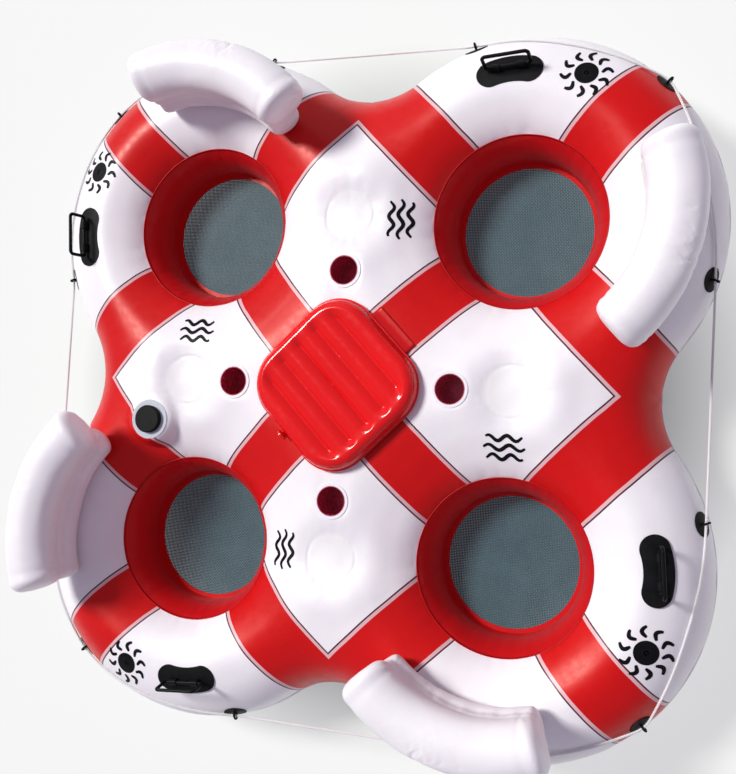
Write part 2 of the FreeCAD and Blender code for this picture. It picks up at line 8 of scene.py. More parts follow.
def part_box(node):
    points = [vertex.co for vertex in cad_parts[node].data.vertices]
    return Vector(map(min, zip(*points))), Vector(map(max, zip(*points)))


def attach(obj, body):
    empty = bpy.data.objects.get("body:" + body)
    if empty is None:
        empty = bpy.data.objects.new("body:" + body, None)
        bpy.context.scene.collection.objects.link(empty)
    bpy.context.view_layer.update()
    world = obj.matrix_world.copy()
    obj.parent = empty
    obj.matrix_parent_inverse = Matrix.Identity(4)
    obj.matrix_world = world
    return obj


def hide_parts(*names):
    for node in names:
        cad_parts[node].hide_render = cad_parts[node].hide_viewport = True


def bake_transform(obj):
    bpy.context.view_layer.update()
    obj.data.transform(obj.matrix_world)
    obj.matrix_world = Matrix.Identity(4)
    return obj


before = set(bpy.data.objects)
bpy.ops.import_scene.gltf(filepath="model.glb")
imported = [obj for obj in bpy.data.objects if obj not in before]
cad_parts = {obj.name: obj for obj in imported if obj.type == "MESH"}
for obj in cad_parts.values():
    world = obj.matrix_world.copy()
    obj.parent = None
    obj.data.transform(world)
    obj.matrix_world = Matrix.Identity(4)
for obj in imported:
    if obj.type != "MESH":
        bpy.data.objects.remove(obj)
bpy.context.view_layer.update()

# Four-seat lounge float. +Z is up, lobes stand on the diagonals, quadrants lie along the axes.
LOBES = ("ne", "nw", "sw", "se")
QUADRANTS = ("e", "n", "w", "s")
ROOT = "raft"
UP = Vector((0, 0, 1))
EIGHTH_TURN = Matrix.Rotation(math.radians(-45), 4, "Z")

# ---------- sizes, from the frame

wall_low, wall_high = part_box("seat_wall_ne")
tube_low, tube_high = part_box("lobe_tube_ne")
deck_low, deck_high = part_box("quadrant_e")
seam_low, seam_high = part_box("outline_seam")

A = (wall_low.x + wall_high.x) / 2          # lobe centre, along X and along Y
SEAM = (wall_high.x - wall_low.x) / 2       # seam between a lobe's top sheet and its seat wall
OUT = tube_high.x - A                       # a lobe's outer radius
MID = (seam_low.z + seam_high.z) / 2        # height of the outline seam
TUBE = (tube_high.z - tube_low.z) / 2       # radius of the air tube
RING = OUT - TUBE
HOLE = RING - TUBE
DECK = deck_high.z
RISE_TOP = DECK - MID - TUBE                # how far a quadrant stands above the tubes
RISE_LOW = MID - TUBE - deck_low.z
WAIST = 0.295                               # concave outline between two lobes
WAIST_X = A + math.sqrt((WAIST + OUT) ** 2 - A ** 2)
TANGENT = math.degrees(math.atan2(A, WAIST_X - A))
WELL = 0.190                                # half the side of the cooler bay
WELL_CORNER = 0.060
DIMPLE = Vector((0.581, 0))
PATCH_EDGE = 0.086
PATCH_WELD = 0.0022                         # depth of the weld round a dimple's patch
PATCH_WELD_WIDTH = 0.0045
BOWL_DEPTH = 0.028
BOWL_REACH = 0.106
BOWL_RING = 0.0040                          # the sheet's slight rise round a dimple
BOWL_RING_OUT = 0.165
BOWL_RING_WIDTH = 0.05
LOW_BOWL = 0.7                              # the bottom's dimple, over the top's
SWELL_FROM_SEAT = (0.60, 1.55)              # where quadrants rise off the tubes, in tube radii
SWELL_FROM_RIM = (0.65, 1.70)
CUP_FLAT = (0.060, 0.082)                   # flat round a fitting to the first, free past the second
VALVE_FLAT = (0.070, 0.105)
RIM_FLAT = (0.026, 0.060)
SHEET_SINK = 0.0006                         # the top sheet lies this far under the fittings
cup_low, cup_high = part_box("cup_holder_e")
CUP = (cup_low + cup_high) / 2
CUP_HOLE = 0.053                            # cut in the sheet, out of sight under the flange
valve_low, valve_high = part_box("valve_flange")
VALVE = (valve_low + valve_high) / 2
VALVE_HOLE = 0.045


def quarter_turn(points, quarters):
    """Points turned about the middle by whole quarters."""
    turn = math.radians(90 * quarters)
    c, s = math.cos(turn), math.sin(turn)
    points = np.asarray(points, float)
    out = points.copy()
    out[..., 0] = c * points[..., 0] - s * points[..., 1]
    out[..., 1] = s * points[..., 0] + c * points[..., 1]
    return out


def smooth(value, low, high):
    t = np.clip((value - low) / (high - low), 0, 1)
    return t * t * (3 - 2 * t)


def circle(count):
    """Evenly spaced directions round a circle, in radians."""
    return [2 * math.pi * k / count for k in range(count)]


# ---------- the inflated surface

def fold(x, y):
    """A point brought by symmetry into the half of the east quadrant above the X axis."""
    ax, ay = np.abs(x), np.abs(y)
    return np.maximum(ax, ay), np.minimum(ax, ay)


def edge_distances(x, y):
    """Distance in from the nearest seat's edge, and in from the outline."""
    px, py = fold(x, y)
    hole = np.hypot(px - A, py - A) - HOLE
    toward = (WAIST_X - A) * (A - py) - (px - A) * A
    from_waist = np.hypot(px - WAIST_X, py) - WAIST
    from_lobe = OUT - np.hypot(px - A, py - A)
    return hole, np.where(toward > 0, from_waist, from_lobe)


def half_thickness(distance):
    near = np.clip(distance, 0, TUBE)
    return np.sqrt(np.maximum(near * (2 * TUBE - near), 0))


def swell(x, y):
    """0 on the tubes and 1 on the quadrants, where the sheets stand further apart."""
    hole, rim = (distance / TUBE for distance in edge_distances(x, y))
    return smooth(hole, *SWELL_FROM_SEAT) * smooth(rim, *SWELL_FROM_RIM)


def dimple(x, y):
    """The sheet pulled in round each quadrant's weld, with a raised cushion about it."""
    px, py = fold(x, y)
    away = np.hypot(px - DIMPLE.x, py - DIMPLE.y)
    bowl = -BOWL_DEPTH * np.exp(-(away / BOWL_REACH) ** 3)
    weld = -PATCH_WELD * np.exp(-((away - PATCH_EDGE) / PATCH_WELD_WIDTH) ** 2)
    ring = BOWL_RING * np.exp(-((away - BOWL_RING_OUT) / BOWL_RING_WIDTH) ** 2)
    return bowl + weld + ring


def well_distance(x, y):
    """Distance out from the cooler bay's edge, roughly; the bay's corners are on the axes."""
    return (np.abs(x) + np.abs(y)) * math.sqrt(0.5) - WELL


def flat_share(x, y):
    """1 where a fitting lies flat on the deck, falling to 0 round it."""
    px, py = fold(x, y)
    cup = np.hypot(px - CUP.x, py)
    valve = np.hypot(x - VALVE.x, y - VALVE.y)
    share = 1 - smooth(cup, *CUP_FLAT)
    share = np.maximum(share, 1 - smooth(valve, *VALVE_FLAT))
    return np.maximum(share, 1 - smooth(well_distance(x, y), *RIM_FLAT))


def body_height(x, y):
    """Half the thickness of the float, without the quadrants' swell and the dimples."""
    hole, rim = edge_distances(x, y)
    return np.minimum(half_thickness(hole), half_thickness(rim))


def top_height(x, y):
    height = MID + body_height(x, y) + RISE_TOP * swell(x, y) + dimple(x, y)
    share = flat_share(x, y)
    return height * (1 - share) + (DECK - SHEET_SINK) * share


def low_height(x, y):
    lower = MID - body_height(x, y) - RISE_LOW * swell(x, y)
    return lower - LOW_BOWL * np.minimum(dimple(x, y), 0)


def tube_point(turn, climb, lift=0.0):
    """A point by the NE lobe's tube: direction round the lobe, angle above the equator, lift."""
    out = RING + (TUBE + lift) * math.cos(math.radians(climb))
    up = MID + (TUBE + lift) * math.sin(math.radians(climb))
    t = math.radians(turn)
    return Vector((A + out * math.cos(t), A + out * math.sin(t), up))


# ---------- mesh helpers

def scene_object(name, data):
    """An object that shows some data, linked into the scene."""
    thing = bpy.data.objects.new(name, data)
    bpy.context.scene.collection.objects.link(thing)
    return thing


def new_object(name, vertices, faces, material=None):
    mesh = bpy.data.meshes.new(name)
    mesh.from_pydata([tuple(v) for v in vertices], [], [tuple(f) for f in faces])
    mesh.validate()
    piece = scene_object(name, mesh)
    if material:
        mesh.materials.append(material)
    mesh.polygons.foreach_set("use_smooth", [True] * len(mesh.polygons))
    return piece


def grid_faces(rows, columns, wrap_rows=False, wrap_columns=False, start=0):
    faces = []
    for r in range(rows if wrap_rows else rows - 1):
        for c in range(columns if wrap_columns else columns - 1):
            a = r * columns + c
            b = r * columns + (c + 1) % columns
            d = ((r + 1) % rows) * columns + c
            e = ((r + 1) % rows) * columns + (c + 1) % columns
            faces.append((start + a, start + b, start + e, start + d))
    return faces


def weld(piece, distance=0.00002):
    """Joins coinciding vertices and makes the normals agree."""
    mesh = bmesh.new()
    mesh.from_mesh(piece.data)
    bmesh.ops.remove_doubles(mesh, verts=mesh.verts, dist=distance)
    bmesh.ops.recalc_face_normals(mesh, faces=mesh.faces)
    mesh.to_mesh(piece.data)
    mesh.free()


def vertex_values(piece, what):
    """Each vertex's place or normal, by the name that Blender has for it."""
    values = np.empty(len(piece.data.vertices) * 3)
    piece.data.vertices.foreach_get(what, values)
    return values.reshape(-1, 3)


def set_coordinates(piece, co):
    piece.data.vertices.foreach_set("co", np.asarray(co, float).ravel())
    piece.data.update()


def finish_piece(piece, body, slot, *nodes):
    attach(piece, body)
    if nodes:
        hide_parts(*nodes)
    return piece


def turned_copy(piece, name, quarters):
    """The same mesh turned by quarters about the middle, as its own piece."""
    mesh = piece.data.copy()
    mesh.transform(Matrix.Rotation(math.radians(90 * quarters), 4, "Z"))
    return scene_object(name, mesh)


def for_each_lobe(first, stem):
    """The NE lobe's piece and its copies on the other lobes, each with its lobe's name."""
    copies = [turned_copy(first, f"{stem}_{LOBES[q]}", q) for q in (1, 2, 3)]
    return zip([first] + copies, LOBES)


def path_sides(path, closed=False):
    """Two directions square to a path at each point, without twist."""
    sides = []
    side = None
    count = len(path)
    for i in range(count):
        before = path[(i - 1) % count if closed else max(i - 1, 0)]
        after = path[(i + 1) % count if closed else min(i + 1, count - 1)]
        way = (after - before).normalized()
        if side is None:
            side = way.orthogonal().normalized()
        side = (side - way * side.dot(way)).normalized()
        sides.append((side, way.cross(side)))
    return sides


def round_point(middle, side, other, radius, turn):
    """A point on a circle about a middle, in the plane of two directions."""
    return middle + side * (radius * math.cos(turn)) + other * (radius * math.sin(turn))


def sweep_tube(name, path, radius, sides, material, closed=False):
    """A round tube along points, with caps unless it is closed."""
    count = len(path)
    vertices = []
    for p, (side, other) in zip(path, path_sides(path, closed)):
        vertices += [round_point(p, side, other, radius, a) for a in circle(sides)]
    faces = grid_faces(count, sides, wrap_rows=closed, wrap_columns=True)
    if not closed:
        faces.append(tuple(range(sides - 1, -1, -1)))
        faces.append(tuple(range((count - 1) * sides, count * sides)))
    return new_object(name, vertices, faces, material)


# ---------- camera

def add_camera():
    data = bpy.data.cameras.new("camera")
    data.lens = 46.84
    data.sensor_width = 36
    data.clip_end = 100
    camera = scene_object("camera", data)
    place = Vector((1.2239, -0.1608, 3.6103))
    target = Vector((0.0701, 0.0025, 0.360))
    roll = math.radians(-79.28)
    look = (target - place).to_track_quat("-Z", "Y")
    camera.location = place
    camera.rotation_mode = "QUATERNION"
    camera.rotation_quaternion = look @ Quaternion((0, 0, 1), roll)
    bpy.context.scene.camera = camera


# ---------- rope route

# Direction round the lobe and angle above the equator, as in the CAD source.
ROPE_ROUTE = [(-18, 23.5), (-9, 34), (-1, 41), (7, 45.5), (15, 47), (23, 45), (31, 40),
              (38.5, 33), (45, 22.6), (52, 33), (59, 40), (67, 45), (75, 47), (83, 45.5),
              (91, 41), (99, 34), (108, 23.5)]
EYELET_STEPS = (0, 8, 16)
ROPE_START = (-11.2, 31.4)
ROPE_END = (-13.4, 28.9)
ROPE_LIFT = 0.013
ROPE_CORNER = 0.014
ROPE_REST = 0.007
ROPE_DIAMETER = 0.009
ROPE_STEP = 0.0026
ROPE_LAY = 0.030          # one full turn of the strands
STRAND_SIDES = 7
STRAIGHT_SHARES = (0.16, 0.84)
KNOT_STEPS = 120
KNOT_SCALE = 0.0032
KNOT_ROPE = 0.0046


def rope_points():
    """The route's control points: over each lobe, then straight across to the next."""
    points = []
    for quarter in (-1, 0, 1, 2):
        for step, (turn, climb) in enumerate(ROPE_ROUTE):
            lift = ROPE_CORNER if step in EYELET_STEPS else ROPE_REST
            points.append(Vector(quarter_turn(tube_point(turn, climb, lift), quarter)))
    first_eyelet = points[0]
    points[0] = Vector(quarter_turn(tube_point(*ROPE_START, ROPE_LIFT), -1))
    end = Vector(quarter_turn(tube_point(*ROPE_END, ROPE_LIFT), -1))
    points += [first_eyelet, end]
    route = []
    for start, after in zip(points, points[1:]):
        route.append(start)
        if (after - start).length > WAIST:
            route += [start.lerp(after, share) for share in STRAIGHT_SHARES]
    return route + [end]


def add_rope(material):
    """The grab rope: three strands laid round the route, the knot it ends in, and its route."""
    data = bpy.data.curves.new("rope_route", "CURVE")
    data.dimensions = "3D"
    data.resolution_u = 24
    spline = data.splines.new("NURBS")
    points = rope_points()
    spline.points.add(len(points) - 1)
    for point, place in zip(spline.points, points):
        point.co = (*place, 1)
    spline.order_u = 3
    spline.use_endpoint_u = True
    route = scene_object("rope_route", data)
    bpy.context.view_layer.update()
    drawn = bpy.data.meshes.new_from_object(route.evaluated_get(
        bpy.context.evaluated_depsgraph_get()))
    path = [Vector(v.co) for v in drawn.vertices]
    bpy.data.objects.remove(route)
    path, length = even_path(path, ROPE_STEP)
    strands = []
    strand = ROPE_DIAMETER / 2 / (1 + 2 / math.sqrt(3))
    offset = ROPE_DIAMETER / 2 - strand
    sides = path_sides(path)
    for number in range(3):
        centres = []
        for i, (p, (side, other)) in enumerate(zip(path, sides)):
            a = 2 * math.pi * (number / 3 + i * ROPE_STEP / ROPE_LAY)
            centres.append(round_point(p, side, other, offset, a))
        strands.append(sweep_tube(f"strand_{number}", centres, strand, STRAND_SIDES, material))
    rope = join(strands, "grab_rope_strands")
    finish_piece(rope, ROOT, "rope", "grab_rope")
    knot = add_knot(path[0], material)


def even_path(path, step):
    """Points evenly spaced along a polyline, and its length."""
    points = np.array([tuple(p) for p in path])
    along = np.concatenate([[0], np.cumsum(np.linalg.norm(np.diff(points, axis=0), axis=1))])
    count = int(round(along[-1] / step)) + 1
    wanted = np.linspace(0, along[-1], count)
    even = np.stack([np.interp(wanted, along, points[:, k]) for k in range(3)], axis=1)
    return [Vector(p) for p in even], float(along[-1])


def join(parts, name):
    """Several mesh pieces made into one."""
    mesh = bmesh.new()
    for part in parts:
        mesh.from_mesh(part.data)
    whole = parts[0]
    mesh.to_mesh(whole.data)
    mesh.free()
    for part in parts[1:]:
        bpy.data.objects.remove(part)
    whole.name = name
    whole.data.name = name
    return whole


def add_knot(place, material):
    """A small overhand knot where the rope's two ends meet."""
    loops = []
    for a in circle(KNOT_STEPS):
        x = math.sin(a) + 2 * math.sin(2 * a)
        y = math.cos(a) - 2 * math.cos(2 * a)
        z = -math.sin(3 * a)
        loops.append(Vector((x, y, 0.8 * z)) * KNOT_SCALE)
    knot = sweep_tube("rope_knot_turns", loops, KNOT_ROPE, 10, material, closed=True)
    low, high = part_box("rope_knot")
    middle = (low + high) / 2
    out = (middle - Vector((A, -A, MID))).normalized()
    turn = UP.rotation_difference(out).to_matrix().to_4x4()
    knot.data.transform(Matrix.Translation(middle) @ turn)
    return finish_piece(knot, ROOT, "rope", "rope_knot")


# ---------- materials

class Shader:
    """A node material, built a step at a time."""

    def __init__(self, name):
        self.material = bpy.data.materials.new(name)
        self.material.use_nodes = True
        self.nodes = self.material.node_tree.nodes
        self.links = self.material.node_tree.links
        self.base = self.nodes["Principled BSDF"]
        self.place = self.nodes.new("ShaderNodeTexCoord").outputs["Object"]

    def join(self, value, socket):
        if isinstance(value, bpy.types.NodeSocket):
            self.links.new(value, socket)
        else:
            socket.default_value = value

    def maths(self, operation, *values):
        node = self.nodes.new("ShaderNodeMath")
        node.operation = operation
        for value, socket in zip(values, node.inputs):
            self.join(value, socket)
        return node.outputs[0]

    def noise(self, scale, detail=3.0, rough=0.5):
        node = self.nodes.new("ShaderNodeTexNoise")
        node.inputs["Scale"].default_value = scale
        node.inputs["Detail"].default_value = detail
        node.inputs["Roughness"].default_value = rough
        self.links.new(self.place, node.inputs["Vector"])
        return node.outputs[0]

    def spread(self, value, low, high, out_low=0.0, out_high=1.0):
        """A value from one range brought to another, held to its ends."""
        node = self.nodes.new("ShaderNodeMapRange")
        for number, part in enumerate((value, low, high, out_low, out_high)):
            self.join(part, node.inputs[number])
        return node.outputs[0]

    def mix(self, share, first, second):
        node = self.nodes.new("ShaderNodeMix")
        node.data_type = "RGBA"
        self.join(share, node.inputs[0])
        self.join(first, node.inputs[6])
        self.join(second, node.inputs[7])
        return node.outputs[2]

    def split(self):
        node = self.nodes.new("ShaderNodeSeparateXYZ")
        self.links.new(self.place, node.inputs[0])
        return node.outputs

    def from_four(self, ax, ay, out):
        """Distance in plan from the nearest of four places at a distance out along the axes."""
        near = self.maths("SUBTRACT", self.maths("MAXIMUM", ax, ay), out)
        side = self.maths("MINIMUM", ax, ay)
        squares = self.maths("MULTIPLY_ADD", near, near, self.maths("MULTIPLY", side, side))
        return self.maths("SQRT", squares)

    def bump(self, height, strength, distance):
        node = self.nodes.new("ShaderNodeBump")
        node.inputs["Strength"].default_value = strength
        node.inputs["Distance"].default_value = distance
        self.join(height, node.inputs["Height"])
        self.links.new(node.outputs[0], self.base.inputs["Normal"])

    def set(self, **values):
        for name, value in values.items():
            self.join(value, self.base.inputs[name.replace("_", " ")])


def rgb(red, green, blue):
    return (red, green, blue, 1.0)


WHITE = rgb(0.88, 0.865, 0.895)
# a little brighter than WHITE: a painted highlight on each dimple's weld patch
PATCH_HIGHLIGHT_WHITE = rgb(0.90, 0.895, 0.90)
RED = rgb(0.60, 0.0055, 0.0065)
DEEP_RED = rgb(0.56, 0.0075, 0.0105)
RED_SHEEN = rgb(1.0, 0.55, 0.50)
LID_RED = rgb(0.76, 0.0070, 0.0075)
LID_SHEEN = rgb(1.0, 0.8, 0.8)
LINE_PALE = rgb(0.74, 0.47, 0.50)
LINE_DARK = rgb(0.075, 0.008, 0.014)


def finish_vinyl(shader, colour, rough, depth, coat):
    """Glossy sheet plastic: uneven gloss, faint mottling, fine grain."""
    cloud = shader.noise(5.0, 4.0)
    fine = shader.noise(420.0, 2.0)
    worn = shader.noise(38.0, 4.0, 0.6)
    shade = shader.spread(cloud, 0.35, 0.65, 1.0 - depth, 1.0)
    dim = shader.nodes.new("ShaderNodeHueSaturation")
    shader.join(colour, dim.inputs["Color"])
    shader.links.new(shade, dim.inputs["Value"])
    shader.set(Base_Color=dim.outputs[0])
    shader.set(Roughness=shader.spread(worn, 0.3, 0.7, rough - 0.05, rough + 0.07))
    ripple = shader.maths("MULTIPLY_ADD", worn, 0.8, shader.maths("MULTIPLY", fine, 0.2))
    shader.bump(ripple, 0.35, 0.001)
    shader.set(Coat_Weight=coat, Coat_Roughness=0.16, IOR=1.45)
    return shader.material


def plain_vinyl(name, colour, rough, coat=0.0, soft=0.0, sheen=None):
    """Sheet of one colour; a sheen tints its gloss, and softness lets light into it."""
    shader = Shader(name)
    if sheen:
        shader.set(Specular_Tint=sheen, Specular_IOR_Level=0.40)
    if soft:
        shader.set(Subsurface_Weight=soft, Subsurface_Scale=0.012)
        shader.base.inputs["Subsurface Radius"].default_value = (1.0, 0.6, 0.6)
    return finish_vinyl(shader, colour, rough, depth=0.06, coat=coat)


BAND_MIDDLE = 0.128       # half the width of the bands from the cooler outwards, along X
CROSS_MIDDLE = 1.0675     # the bands across: where |x| + |y| has this value
CROSS_HALF = 0.1475
LINE_WIDTH = 0.011
DARK_WIDTH = 0.0052


def printed_vinyl(name):
    """White top sheet with red bands crossing at each seat, edged by a pale and a dark line."""
    shader = Shader(name)
    x, y, _ = shader.split()
    ax = shader.maths("ABSOLUTE", x)
    ay = shader.maths("ABSOLUTE", y)
    along = shader.maths("ABSOLUTE", shader.maths("SUBTRACT", ax, ay))
    along = shader.maths("SUBTRACT", along, BAND_MIDDLE)
    across = shader.maths("SUBTRACT", shader.maths("ADD", ax, ay), CROSS_MIDDLE)
    across = shader.maths("SUBTRACT", shader.maths("ABSOLUTE", across), CROSS_HALF)
    out = shader.maths("MULTIPLY", shader.maths("MINIMUM", along, across), math.sqrt(0.5))
    drift = shader.maths("SUBTRACT", shader.noise(9.0, 2.0), 0.5)
    out = shader.maths("MULTIPLY_ADD", drift, 0.004, out)
    blur = 0.0006
    pale = shader.spread(out, -blur, blur)
    dark = shader.spread(out, LINE_WIDTH - blur, LINE_WIDTH + blur)
    clear = shader.spread(out, LINE_WIDTH + DARK_WIDTH - blur, LINE_WIDTH + DARK_WIDTH + blur)
    ink = shader.mix(pale, RED, LINE_PALE)
    ink = shader.mix(dark, ink, LINE_DARK)
    ink = shader.mix(clear, ink, WHITE)
    far = shader.from_four(ax, ay, DIMPLE.x)
    on_patch = shader.spread(far, PATCH_EDGE - 0.003, PATCH_EDGE + 0.001, 1.0, 0.0)
    # Each dimple's weld patch is a real piece, given a brighter white here; the extra brightness is a
    # painted highlight.
    ink = shader.mix(on_patch, ink, PATCH_HIGHLIGHT_WHITE)
    shader.set(Subsurface_Weight=0.08, Subsurface_Scale=0.01)
    shader.set(Specular_Tint=shader.mix(pale, RED_SHEEN, rgb(1, 1, 1)), Specular_IOR_Level=0.45)
    return finish_vinyl(shader, ink, 0.36, depth=0.05, coat=0.0)


def moulded(name, colour, rough):
    """Moulded plastic or rubber with a fine grain and slight fading."""
    shader = Shader(name)
    cloud = shader.noise(30.0, 4.0)
    fine = shader.noise(260.0, 3.0)
    lighter = rgb(*(part * 1.15 + 0.002 for part in colour[:3]))
    shader.set(Base_Color=shader.mix(shader.spread(cloud, 0.35, 0.65), colour, lighter))
    shader.set(Roughness=shader.spread(fine, 0.3, 0.7, rough - 0.06, rough + 0.08))
    shader.set(Specular_IOR_Level=0.09)
    shader.bump(fine, 0.25, 0.0006)
    return shader.material


def cup_material(name):
    """Maroon cups whose welded flanges take the white of the deck."""
    shader = Shader(name)
    x, y, _ = shader.split()
    far = shader.from_four(shader.maths("ABSOLUTE", x), shader.maths("ABSOLUTE", y), CUP.x)
    cloud = shader.noise(55.0, 3.0)
    mottle = shader.spread(cloud, 0.35, 0.65)
    inside = shader.mix(mottle, rgb(0.40, 0.014, 0.055), rgb(0.55, 0.030, 0.085))
    edge = shader.spread(far, 0.0495, 0.0515)
    shader.set(Base_Color=shader.mix(edge, inside, WHITE))
    shader.set(Roughness=shader.spread(cloud, 0.3, 0.7, 0.22, 0.34), Coat_Weight=0.3)
    shader.set(Subsurface_Weight=0.15, Subsurface_Scale=0.02)
    shader.bump(cloud, 0.2, 0.0012)
    return shader.material


def clear_film(name):
    """Pale bluish vinyl of the main valve's flange and the backrests' small valves."""
    shader = Shader(name)
    cloud = shader.noise(60.0, 3.0)
    shader.set(Base_Color=shader.mix(cloud, rgb(0.70, 0.76, 0.84), rgb(0.80, 0.85, 0.90)))
    shader.set(Roughness=0.18, Transmission_Weight=0.30, IOR=1.5, Coat_Weight=0.3)
    shader.bump(cloud, 0.2, 0.0008)
    return shader.material


def net_material(name):
    shader = Shader(name)
    fine = shader.noise(700.0, 2.0)
    cloud = shader.noise(14.0, 3.0)
    shader.set(Base_Color=shader.mix(cloud, rgb(0.022, 0.068, 0.088), rgb(0.058, 0.125, 0.150)))
    shader.set(Roughness=0.48, Specular_IOR_Level=0.3)
    shader.bump(fine, 0.3, 0.0005)
    return shader.material


def rope_material(name):
    shader = Shader(name)
    fibre = shader.noise(900.0, 3.0)
    cloud = shader.noise(25.0, 3.0)
    shader.set(Base_Color=shader.mix(cloud, rgb(0.74, 0.73, 0.74), rgb(0.86, 0.85, 0.85)))
    shader.set(Roughness=0.75, Sheen_Weight=0.2)
    shader.bump(fibre, 0.5, 0.0006)
    return shader.material


# ---------- top and bottom sheets

NECK = math.degrees(math.atan2(-A, WAIST_X - WAIST - A))
WELL_AXIS = WELL * math.sqrt(2)
WELL_TIP = WELL_AXIS - WELL_CORNER * (math.sqrt(2) - 1)
WELL_TURN = math.degrees(math.atan2(-A, WELL_TIP - A))


def ray_to_circle(way, centre, radius):
    """Distance from the lobe's centre to the near side of a circle."""
    ahead = way.dot(centre)
    return ahead - math.sqrt(max(ahead ** 2 - centre.length_squared + radius ** 2, 0))


def cell_reach(turn):
    """From the NE lobe's centre to the edge of its quarter of the float, by direction."""
    if turn > 45:
        turn = 90 - turn
    way = Vector((math.cos(math.radians(turn)), math.sin(math.radians(turn))))
    if turn >= -TANGENT:
        return OUT
    if turn >= NECK:
        return ray_to_circle(way, Vector((WAIST_X - A, -A)), WAIST)
    if turn >= WELL_TURN:
        return A / -way.y
    bend = Vector((WELL_TIP - WELL_CORNER - A, -A))
    corner_end = Vector((bend.x + WELL_CORNER * math.sqrt(0.5), bend.y + WELL_CORNER * math.sqrt(0.5)))
    if turn >= math.degrees(math.atan2(corner_end.y, corner_end.x)):
        return ray_to_circle(way, bend, WELL_CORNER)
    return (WELL_AXIS - 2 * A) / (way.x + way.y)


def cell_turns():
    """Directions for the quarter's mesh, symmetric about the diagonal, through its corners."""
    corners = [-135, WELL_TURN, NECK, -TANGENT, 45]
    half = []
    for low, high in zip(corners, corners[1:]):
        count = max(2, round((high - low) / 1.25))
        half += [low + (high - low) * k / count for k in range(count)]
    other = [90 - turn for turn in half[1:]]
    return half + [45] + other[::-1]


def outline_share(turn):
    """1 where the quarter ends at the outline, falling to 0 where it ends at another quarter."""
    if turn > 45:
        turn = 90 - turn
    if turn >= NECK:
        return 1.0
    end = cell_reach(turn) * math.cos(math.radians(turn)) + A
    return smooth(1 - (WAIST_X - WAIST - end) / 0.25, 0.0, 1.0)


SHEET_ROWS = 84
LOBE_ORDER = (0, 1, 3, 2)           # quarter of a point from its signs: x below 0, then y
EYELET_TURNS = (-17, 45, 107)       # directions of a lobe's eyelets
EYELET_OUT = 0.634
FLAP_TURNS = (-38, 18)              # directions the backrest's flap covers
PAD_TURNS = (80, 110)               # and the handle's pad


def cut_hole(piece, middle, radius):
    """Takes out the faces near an upright axis."""
    mesh = bmesh.new()
    mesh.from_mesh(piece.data)
    near = []
    for face in mesh.faces:
        centre = face.calc_center_median()
        if math.hypot(centre.x - middle[0], centre.y - middle[1]) < radius:
            near.append(face)
    bmesh.ops.delete(mesh, geom=near, context="FACES")
    mesh.to_mesh(piece.data)
    mesh.free()


def sheet_piece(name, height, material):
    """One of the two sheets: a net of rays and rings about each lobe, over all four quarters."""
    turns = cell_turns()
    vertices = []
    for row in range(SHEET_ROWS):
        u = row / (SHEET_ROWS - 1)
        for turn in turns:
            share = outline_share(turn)
            reach = cell_reach(turn)
            g = share * math.sin(math.pi * u / 2) + (1 - share) * u
            r = SEAM + (reach - SEAM) * g
            t = math.radians(turn)
            vertices.append((A + r * math.cos(t), A + r * math.sin(t)))
    flat = np.array(vertices)
    faces = grid_faces(SHEET_ROWS, len(turns), wrap_columns=True)
    all_points, all_faces = [], []
    for quarter in range(4):
        part = quarter_turn(flat, quarter)
        z = height(part[:, 0], part[:, 1])
        start = len(flat) * quarter
        all_points.append(np.column_stack([part, z]))
        all_faces += [tuple(start + i for i in face) for face in faces]
    piece = new_object(name, np.concatenate(all_points), all_faces, material)
    weld(piece)
    return piece


def calm(turn, out, climb_side):
    """1 away from the patches, flaps and pads welded to a lobe, 0 under them."""
    share = 1.0
    for eyelet in EYELET_TURNS:
        away = math.hypot(math.radians(turn - eyelet) * out, out - EYELET_OUT)
        share *= smooth(away, 0.045, 0.080)
    if FLAP_TURNS[0] < turn < FLAP_TURNS[1] and 0.43 < out < 0.55:
        share *= 0.15
    if PAD_TURNS[0] < turn < PAD_TURNS[1] and 0.44 < out < 0.55:
        share *= 0.3
    return share if climb_side > 0 else 1.0


